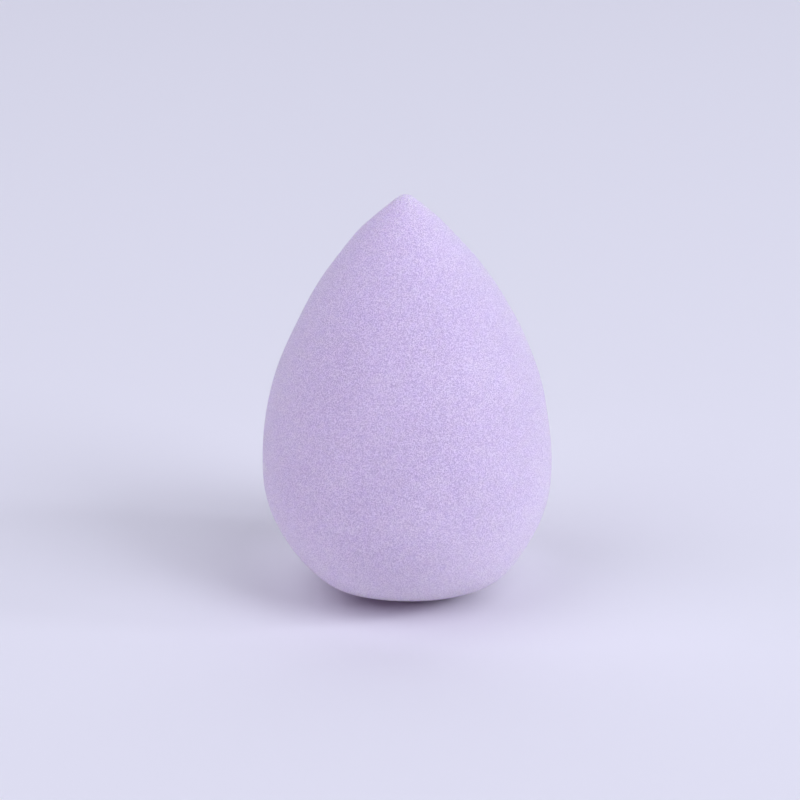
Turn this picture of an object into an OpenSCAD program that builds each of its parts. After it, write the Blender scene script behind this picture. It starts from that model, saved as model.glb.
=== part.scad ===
// Teardrop makeup sponge: one piece of soft open-cell foam, ground to a smooth drop shape.
// Its side is one unbroken curve of four arcs, each tangent to the next, revolved about the upright axis:
// haunch (from the foot up), belly (the widest part), flank (the long flatter side) and tip.
// The origin is the middle of the foot, on the surface that the sponge stands on, and +Z is up.

/* [Sponge] */
// Height from the foot to the tip
sponge_h = 60; // [54:0.5:68]
// Diameter at the widest part
belly_d = 42; // [38:0.5:46]
// Height of the widest part above the foot
belly_z = 20.4; // [19:0.2:23]

/* [Side curve] */
// Radius of the side curve where it passes the widest part
belly_curve_r = 43; // [36:0.5:54]
// Height above the widest part at which the belly curve turns into the flank
flank_rise = 13.5; // [8:0.5:18]
// Depth below the widest part at which the belly curve turns into the haunch
haunch_drop = 3; // [1:0.25:6]

/* [Ends] */
// Radius of the rounded tip
tip_r = 2.2; // [1:0.1:4]
// Diameter of the flat foot, the patch that the sponge's own weight presses flat
foot_d = 9; // [6:0.5:14]

/* [Smoothness] */
// Turn of the outline from one point to the next, in degrees
outline_step = 2.5; // [1:0.5:5]
// Flats around the sponge in the preview mesh
around_count = 96; // [48:12:180]

/* [Hidden] */

foam_colour = [0.80, 0.74, 0.90];

foot_edge = [foot_d / 2, 0];
tip_centre = [0, sponge_h - tip_r];
belly_centre = [belly_d / 2 - belly_curve_r, belly_z];

// Directions, in degrees above the horizontal, in which the belly curve ends
haunch_angle = -asin(haunch_drop / belly_curve_r);
flank_angle = asin(flank_rise / belly_curve_r);

// Unit vector in direction a
function direction(a) = [cos(a), sin(a)];

// Direction of vector v
function heading(v) = atan2(v[1], v[0]);

// Radius of the arc that leaves the belly curve in direction a and also meets, from outside, the circle of
// centre c and radius r. A radius of 0 makes the arc end at the point c.
function blend_radius(a, c, r) =
    let (gap = belly_centre - c, along = gap * direction(a))
    (gap * gap + 2 * belly_curve_r * along + belly_curve_r * belly_curve_r - r * r)
        / (2 * (along + belly_curve_r - r));

// Centre of an arc of radius r that leaves the belly curve in direction a
function blend_centre(a, r) = belly_centre + (belly_curve_r - r) * direction(a);

// Points of an arc of centre c and radius r from direction a0 to a1, without its first point
function arc(c, r, a0, a1) =
    let (count = ceil((a1 - a0) / outline_step))
    [for (i = [1:count]) c + r * direction(a0 + (a1 - a0) * i / count)];

haunch_r = blend_radius(haunch_angle, foot_edge, 0);
haunch_centre = blend_centre(haunch_angle, haunch_r);
foot_angle = heading(foot_edge - haunch_centre);

flank_r = blend_radius(flank_angle, tip_centre, tip_r);
flank_centre = blend_centre(flank_angle, flank_r);
tip_angle = heading(tip_centre - flank_centre);

// Half of the upright section, from the middle of the foot, up the side, to the top of the tip
half_section = concat(
    [[0, 0], foot_edge],
    arc(haunch_centre, haunch_r, foot_angle, haunch_angle),
    arc(belly_centre, belly_curve_r, haunch_angle, flank_angle),
    arc(flank_centre, flank_r, flank_angle, tip_angle),
    arc(tip_centre, tip_r, tip_angle, 90)
);

module foam_body() {
    color(foam_colour)
        rotate_extrude($fn = around_count)
            polygon(half_section);
}

foam_body();
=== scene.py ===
# Makeup sponge: a soft lavender foam drop standing on a pale table, in metres, in the CAD model's frame
import math
import bmesh
import bpy
import numpy as np
from mathutils import Matrix, Vector, kdtree, noise


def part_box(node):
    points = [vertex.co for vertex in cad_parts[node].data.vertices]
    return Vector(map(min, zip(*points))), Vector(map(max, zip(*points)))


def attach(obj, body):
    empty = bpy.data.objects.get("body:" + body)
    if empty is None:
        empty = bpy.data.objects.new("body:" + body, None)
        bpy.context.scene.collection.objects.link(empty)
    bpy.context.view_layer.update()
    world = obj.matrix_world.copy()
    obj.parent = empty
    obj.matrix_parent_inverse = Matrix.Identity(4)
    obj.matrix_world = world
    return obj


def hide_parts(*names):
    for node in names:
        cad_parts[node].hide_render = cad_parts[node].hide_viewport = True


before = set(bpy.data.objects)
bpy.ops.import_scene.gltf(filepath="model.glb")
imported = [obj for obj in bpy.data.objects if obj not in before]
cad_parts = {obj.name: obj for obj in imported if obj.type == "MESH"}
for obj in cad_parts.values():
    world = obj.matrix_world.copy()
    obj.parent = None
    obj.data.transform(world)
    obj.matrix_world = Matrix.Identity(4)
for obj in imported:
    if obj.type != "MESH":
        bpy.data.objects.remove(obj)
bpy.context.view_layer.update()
mm = 0.001
print("frame loaded, pieces:", sorted(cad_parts))

# Side of the drop in mm: four tangent arcs as in the CAD solid, but with a sharper tip and a wider foot.
# The height and the width come from the frame.
foamLow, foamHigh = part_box("foam_body")
drop = {
    "height": (foamHigh.z - foamLow.z) / mm,
    "width": (foamHigh.x - foamLow.x) / mm,
    "bellyLevel": 20.4,  # height of the widest part
    "bellyCurve": 43,  # radius of the side where it passes the widest part
    "flankRise": 13.5,  # the belly curve ends this far above the widest part
    "haunchDrop": 3,  # and this far below it
    "tipRadius": 1.8,
    "footWidth": 11.5,
    "arcStep": 0.5,  # degrees from one outline point to the next
    "footPoints": 12,  # outline points across half of the foot
    "leastStep": 1e-6,  # points closer than this are one
    "footBlend": 0.4,  # mm above the table at which the skin is free of the foot
    "meshCells": 128,  # squares along each side of the six patches of the skin
}

# The real drop is a little uneven. Each spot has its direction round the drop in degrees from +X towards +Y,
# its height and reach, and how far the skin stands out there, in mm.
unevenness = [
    {"turn": 174, "height": 40.5, "reach": 5, "out": -0.22},
    {"turn": 168, "height": 54.5, "reach": 3.5, "out": 0.2},
    {"turn": 12, "height": 53, "reach": 3, "out": -0.1},
    {"turn": 2, "height": 26, "reach": 3.5, "out": -0.16},
    {"turn": 180, "height": 17, "reach": 6, "out": 0.12},
    {"turn": -165, "height": 9, "reach": 4.5, "out": -0.12},
    {"turn": -140, "height": 3.5, "reach": 4, "out": 0.25},
    {"turn": -92, "height": 1.6, "reach": 6.5, "out": -0.4},
    {"turn": -33, "height": 4.5, "reach": 5, "out": 0.65},
]

# Small relief of the open-cell foam, in mm
cellRelief = {
    "swellSize": 14,
    "swellDepth": 0.05,
    "swellShift": 3.1,  # where in the noise the swell is taken from
    "grainSize": 0.75,
    "grainDepth": 0.016,
    "grainShift": 7.7,  # and the grain
    "poreCount": 2600,
    "poreWidth": (0.55, 1.1),
    "poreDepth": (0.02, 0.06),
    "seed": 11,
}


def direction(degrees):
    return np.array([math.cos(math.radians(degrees)), math.sin(math.radians(degrees))])


def heading(vector):
    return math.degrees(math.atan2(vector[1], vector[0]))


def arcPoints(centre, radius, start, end):
    count = math.ceil(abs(end - start) / drop["arcStep"])
    return [centre + radius * direction(a) for a in np.linspace(start, end, count + 1)]


def arcOffBelly(bellyCentre, angle, meetCentre, meetRadius):
    # the one arc that leaves the belly curve at this angle and runs into the other circle without a crease
    bellyCurve = drop["bellyCurve"]
    gap = bellyCentre - meetCentre
    along = gap @ direction(angle)
    radius = gap @ gap + 2 * bellyCurve * along + bellyCurve**2 - meetRadius**2
    radius /= 2 * (along + bellyCurve - meetRadius)
    return radius, bellyCentre + (bellyCurve - radius) * direction(angle)


def dropOutline():
    # from the top of the tip down the side and in to the middle of the foot, as radius and height
    bellyCentre = np.array([drop["width"] / 2 - drop["bellyCurve"], drop["bellyLevel"]])
    flankAngle = math.degrees(math.asin(drop["flankRise"] / drop["bellyCurve"]))
    haunchAngle = -math.degrees(math.asin(drop["haunchDrop"] / drop["bellyCurve"]))
    tipCentre = np.array([0, drop["height"] - drop["tipRadius"]])
    footEdge = np.array([drop["footWidth"] / 2, 0])
    flankRadius, flankCentre = arcOffBelly(bellyCentre, flankAngle, tipCentre, drop["tipRadius"])
    haunchRadius, haunchCentre = arcOffBelly(bellyCentre, haunchAngle, footEdge, 0)
    tipAngle = heading(tipCentre - flankCentre)
    footAngle = heading(footEdge - haunchCentre)
    arcs = [
        (tipCentre, drop["tipRadius"], 90, tipAngle),
        (flankCentre, flankRadius, tipAngle, flankAngle),
        (bellyCentre, drop["bellyCurve"], flankAngle, haunchAngle),
        (haunchCentre, haunchRadius, haunchAngle, footAngle),
    ]
    outline = []
    for arc in arcs:
        outline += arcPoints(*arc)
    outline += [footEdge * share for share in np.linspace(1, 0, drop["footPoints"])]
    steps = np.linalg.norm(np.diff(outline, axis=0), axis=1)
    keep = np.append(True, steps > drop["leastStep"])
    return np.array(outline)[keep]


def smoothNoise(points, size, shift):
    # from about -1 to 1, with lumps about this wide
    return np.array([noise.noise(Vector(p / size) + Vector((shift, -shift, shift))) for p in points])


def poreDepths(points):
    # scattered round pits, most of them small
    picker = np.random.RandomState(cellRelief["seed"])
    tree = kdtree.KDTree(len(points))
    for i, p in enumerate(points):
        tree.insert(p, i)
    tree.balance()
    depths = np.zeros(len(points))
    for centre in points[picker.choice(len(points), cellRelief["poreCount"], replace=False)]:
        share = picker.random_sample() ** 2
        reach = np.interp(share, (0, 1), cellRelief["poreWidth"]) / 2
        depth = np.interp(share, (0, 1), cellRelief["poreDepth"])
        for _, i, distance in tree.find_range(centre, reach):
            depths[i] = max(depths[i], depth * (1 - (distance / reach) ** 2) ** 2)
    return depths


def makeDrop():
    # a cube skin rounded to a ball, whose rings then slide down the drop so that squares keep their area
    bm = bmesh.new()
    bmesh.ops.create_cube(bm, size=2)
    bmesh.ops.subdivide_edges(bm, edges=bm.edges[:], cuts=drop["meshCells"] - 1, use_grid_fill=True)
    ball = np.array([v.co for v in bm.verts])
    ball = np.tan(ball * math.pi / 4)  # makes the squares on the ball nearly even in size
    ball /= np.linalg.norm(ball, axis=1)[:, None]

    outline = dropOutline()
    radius, height = outline[:, 0], outline[:, 1]
    slant = np.linalg.norm(np.diff(outline, axis=0), axis=1)
    ringArea = (radius[1:] + radius[:-1]) / 2 * slant
    areaDown = np.append(0, np.cumsum(ringArea))
    areaDown /= areaDown[-1]
    tangent = np.gradient(outline, axis=0)
    tangent /= np.linalg.norm(tangent, axis=1)[:, None]

    place = (1 - ball[:, 2]) / 2
    around = np.arctan2(ball[:, 1], ball[:, 0])
    outwards = np.stack([np.cos(around), np.sin(around)], axis=1)
    ringRadius = np.interp(place, areaDown, radius)
    ringHeight = np.interp(place, areaDown, height)
    skin = np.column_stack([outwards * ringRadius[:, None], ringHeight])
    normalOut = -np.interp(place, areaDown, tangent[:, 1])
    normalUp = np.interp(place, areaDown, tangent[:, 0])
    normals = np.column_stack([outwards * normalOut[:, None], normalUp])

    swell = smoothNoise(skin, cellRelief["swellSize"], cellRelief["swellShift"])
    grain = smoothNoise(skin, cellRelief["grainSize"], cellRelief["grainShift"])
    out = cellRelief["swellDepth"] * swell + cellRelief["grainDepth"] * grain
    for spot in unevenness:
        towards = math.radians(spot["turn"])
        fromAxis = np.interp(spot["height"], height[::-1], radius[::-1])
        centre = np.array([fromAxis * math.cos(towards), fromAxis * math.sin(towards), spot["height"]])
        away = np.linalg.norm(skin - centre, axis=1) / spot["reach"]
        out += spot["out"] * np.exp(-(away**2))
    out -= poreDepths(skin)
    out *= np.clip(skin[:, 2] / drop["footBlend"], 0, 1)  # the foot stays flat on the table
    skin += normals * out[:, None]
    skin[:, 2] = np.maximum(skin[:, 2], 0)

    for vert, co in zip(bm.verts, skin):
        vert.co = Vector(co) * mm
    bmesh.ops.recalc_face_normals(bm, faces=bm.faces[:])
    mesh = bpy.data.meshes.new("foamDrop")
    bm.to_mesh(mesh)
    bm.free()
    mesh.shade_smooth()
    piece = bpy.data.objects.new("foamDrop", mesh)
    bpy.context.collection.objects.link(piece)
    print("foam drop made,", len(mesh.polygons), "faces")
    return piece


# Foam finish, sizes in mm
foamFinish = {
    "colour": (0.938, 0.832, 1, 1),  # on the cell walls
    # painted shade: this darker colour stands for the shade down in the open cells, and is also the dark end
    # of the random grain
    "grainAndCellShadeColour": (0.558, 0.44, 0.653, 1),  # down in the open cells
    "cellSize": 0.17,
    "cellMouth": (0.1, 0.55),  # shares of a cell's size from its middle to where its wall is full
    "cellDepths": (0.4, 1),
    "cellShadeShare": 0.65,  # of the way from one colour to the other
    "grainSize": 0.15,
    "grainShare": 0.65,
    "blotchSize": 11,
    "blotchTone": 0.02,
    "noiseRange": (0.38, 0.62),  # values of a noise between which tone and roughness change
    "relief": 0.08,
    "roughness": (0.86, 1),
    "sheen": 0.3,
    "sheenRoughness": 0.5,
    "specular": 0.5,
    "lightDepth": 6,  # how far light spreads inside the foam
    "lightTint": (1, 0.85, 1.25),
}


def addNode(tree, kind, inputs=None, **settings):
    node = tree.nodes.new(kind)
    for name, value in settings.items():
        setattr(node, name, value)
    for name, value in (inputs or {}).items():
        if isinstance(value, bpy.types.NodeSocket):
            tree.links.new(value, node.inputs[name])
        else:
            node.inputs[name].default_value = value
    return node


def spread(tree, value, inside, outside, smooth=False):
    # maps one range onto another
    inputs = {
        "Value": value,
        "From Min": inside[0],
        "From Max": inside[1],
        "To Min": outside[0],
        "To Max": outside[1],
    }
    kind = "SMOOTHSTEP" if smooth else "LINEAR"
    return addNode(tree, "ShaderNodeMapRange", inputs, interpolation_type=kind).outputs["Result"]


def mathNode(tree, operation, first, second):
    return addNode(tree, "ShaderNodeMath", {0: first, 1: second}, operation=operation).outputs[0]


def scaleVector(tree, vector, factor):
    inputs = {0: vector, "Scale": factor}
    return addNode(tree, "ShaderNodeVectorMath", inputs, operation="SCALE").outputs[0]


def mixColours(tree, share, first, second):
    # a Mix node's colour sockets are the inputs 6 and 7 and the output 2
    node = addNode(tree, "ShaderNodeMix", {"Factor": share, 6: first, 7: second}, data_type="RGBA")
    return node.outputs[2]


def foamMaterial():
    material = bpy.data.materials.new("lavender foam")
    material.use_nodes = True
    tree = material.node_tree
    tree.nodes.clear()
    finish = foamFinish
    coords = addNode(tree, "ShaderNodeTexCoord").outputs["Object"]
    inMm = scaleVector(tree, coords, 1 / mm)

    # open cells: a dip in the middle of each, some deeper than others; the dip sinks the relief and, as
    # painted shade, darkens the colour there
    cells = addNode(
        tree, "ShaderNodeTexVoronoi", {"Vector": inMm, "Scale": 1 / finish["cellSize"], "Randomness": 1}
    )
    dip = spread(tree, cells.outputs["Distance"], finish["cellMouth"], (1, 0), smooth=True)
    pick = addNode(tree, "ShaderNodeSeparateColor", {"Color": cells.outputs["Color"]}).outputs["Red"]
    dips = mathNode(tree, "MULTIPLY", dip, spread(tree, pick, (0, 1), finish["cellDepths"]))

    # short velvet grain between them, and faint wide blotches
    grain = addNode(
        tree, "ShaderNodeTexNoise", {"Vector": inMm, "Scale": 1 / finish["grainSize"], "Detail": 0}
    ).outputs["Fac"]
    blotch = addNode(
        tree, "ShaderNodeTexNoise", {"Vector": inMm, "Scale": 1 / finish["blotchSize"], "Detail": 2}
    ).outputs["Fac"]
    grainShade = spread(tree, grain, finish["noiseRange"], (finish["grainShare"], 0))
    # how far the colour goes to the dark one: random grain tone plus painted shade in each cell's dip
    shade = mathNode(tree, "ADD", grainShade, mathNode(tree, "MULTIPLY", dips, finish["cellShadeShare"]))
    blotchTones = (1 - finish["blotchTone"], 1 + finish["blotchTone"])
    blotchTone = spread(tree, blotch, finish["noiseRange"], blotchTones)
    tone = mixColours(tree, shade, finish["colour"], finish["grainAndCellShadeColour"])
    colour = scaleVector(tree, tone, blotchTone)
    rough = spread(tree, grain, finish["noiseRange"], finish["roughness"])
    height = mathNode(tree, "SUBTRACT", grain, dips)
    relief = addNode(
        tree, "ShaderNodeBump", {"Strength": 1, "Distance": finish["relief"] * mm, "Height": height}
    ).outputs["Normal"]
    shader = addNode(
        tree,
        "ShaderNodeBsdfPrincipled",
        {
            "Base Color": colour,
            "Roughness": rough,
            "Normal": relief,
            "Specular IOR Level": finish["specular"],
            "Sheen Weight": finish["sheen"],
            "Sheen Roughness": finish["sheenRoughness"],
            "Subsurface Weight": 1,
            "Subsurface Radius": finish["lightTint"],
            "Subsurface Scale": finish["lightDepth"] * mm,
        },
    )
    out = addNode(tree, "ShaderNodeOutputMaterial")
    tree.links.new(shader.outputs[0], out.inputs[0])
    return material


sponge = makeDrop()
sponge.data.materials.append(foamMaterial())
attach(sponge, "root")
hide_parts("foam_body")
print("foam dressed")

# Table and light: lengths in metres, turn and rise in degrees as seen from the sponge
table = {"reach": 3, "colour": (0.892, 0.9, 0.876, 1), "roughness": 0.8, "specular": 0.1}
studio = {
    "world": {"colour": (0.81, 0.8, 1, 1), "strength": 0.071},
    "lampColour": (0.81, 0.81, 1),
    "violetColour": (0.8, 0.54, 1),  # of the two lamps that reach under the sponge
    "lampDistance": 2.5,  # of a lamp that has none of its own
    "lamps": [
        {"name": "keyLamp", "turn": -36, "rise": 34, "size": 1.3, "watts": 23.3},
        {"name": "highLamp", "turn": -48, "rise": 56, "size": 1.2, "watts": 12.1},
        {"name": "sideLamp", "turn": -11, "rise": 25, "size": 0.4, "watts": 9},
        {"name": "fillLamp", "turn": 211, "rise": 53, "size": 2.2, "watts": 25},
        {"name": "lowLamp", "turn": 180, "rise": 8, "size": 0.6, "watts": 7, "violet": True},
        {"name": "backLamp", "turn": 85, "rise": 38, "size": 7, "watts": 98, "distance": 4},
        {"name": "rimLamp", "turn": 10, "rise": 8, "size": 0.8, "watts": 6},
        {"name": "frontLamp", "turn": -92, "rise": 6, "size": 0.6, "watts": 3.5, "violet": True},
    ],
}


def makeTable():
    bm = bmesh.new()
    bmesh.ops.create_grid(bm, x_segments=2, y_segments=2, size=table["reach"])
    mesh = bpy.data.meshes.new("tableTop")
    bm.to_mesh(mesh)
    bm.free()
    top = bpy.data.objects.new("tableTop", mesh)
    bpy.context.collection.objects.link(top)
    material = bpy.data.materials.new("pale table")
    material.use_nodes = True
    shader = material.node_tree.nodes["Principled BSDF"]
    shader.inputs["Base Color"].default_value = table["colour"]
    shader.inputs["Roughness"].default_value = table["roughness"]
    shader.inputs["Specular IOR Level"].default_value = table["specular"]
    mesh.materials.append(material)


def makeLight():
    world = bpy.data.worlds.new("studio")
    world.use_nodes = True
    background = world.node_tree.nodes["Background"]
    background.inputs["Color"].default_value = studio["world"]["colour"]
    background.inputs["Strength"].default_value = studio["world"]["strength"]
    bpy.context.scene.world = world
    middle = Vector((0, 0, drop["height"] / 2 * mm))
    for spec in studio["lamps"]:
        data = bpy.data.lights.new(spec["name"], "AREA")
        data.shape = "DISK"
        data.size = spec["size"]
        data.energy = spec["watts"]
        data.color = studio["violetColour" if spec.get("violet") else "lampColour"]
        lamp = bpy.data.objects.new(spec["name"], data)
        bpy.context.collection.objects.link(lamp)
        turn, rise = math.radians(spec["turn"]), math.radians(spec["rise"])
        towards = Vector((math.cos(rise) * math.cos(turn), math.cos(rise) * math.sin(turn), math.sin(rise)))
        lamp.location = middle + towards * spec.get("distance", studio["lampDistance"])
        lamp.rotation_euler = towards.to_track_quat("Z", "Y").to_euler()


makeTable()
makeLight()
print("table and lamps placed")

# The photograph's view: pixels are those of the 800 by 800 frame, lengths are in mm
photoView = {
    "frameWide": 800,
    "rise": 20,  # degrees above the table
    "distance": 410,  # from the camera to the middle of the sponge
    "middleAt": (407, 394.9),  # where the middle of the sponge falls in the frame
    "pixelsPerMm": 6.919,
    "lean": 0.47,  # degrees by which the picture is turned
    "sensor": 36,
    "clip": (0.01, 20),  # metres
}


def makeCamera():
    middle = Vector((0, 0, drop["height"] / 2))
    rise = math.radians(photoView["rise"])
    back = Vector((0, -math.cos(rise), math.sin(rise)))
    right = Vector((1, 0, 0))
    up = back.cross(right)
    centre = photoView["frameWide"] / 2
    aside = (centre - photoView["middleAt"][0]) / photoView["pixelsPerMm"]
    below = (photoView["middleAt"][1] - centre) / photoView["pixelsPerMm"]
    aim = middle + right * aside + up * below
    eye = middle + back * photoView["distance"]
    data = bpy.data.cameras.new("photoCamera")
    halfField = centre / photoView["pixelsPerMm"]
    data.sensor_width = photoView["sensor"]
    data.lens = photoView["sensor"] / 2 * photoView["distance"] / halfField
    data.clip_start, data.clip_end = photoView["clip"]
    camera = bpy.data.objects.new("photoCamera", data)
    bpy.context.collection.objects.link(camera)
    turned = (eye - aim).to_track_quat("Z", "Y").to_matrix().to_4x4()
    lean = Matrix.Rotation(-math.radians(photoView["lean"]), 4, "Z")
    camera.matrix_world = Matrix.Translation(eye * mm) @ turned @ lean
    bpy.context.scene.camera = camera
    bpy.context.scene.view_settings.view_transform = "Standard"


makeCamera()
print("camera placed")
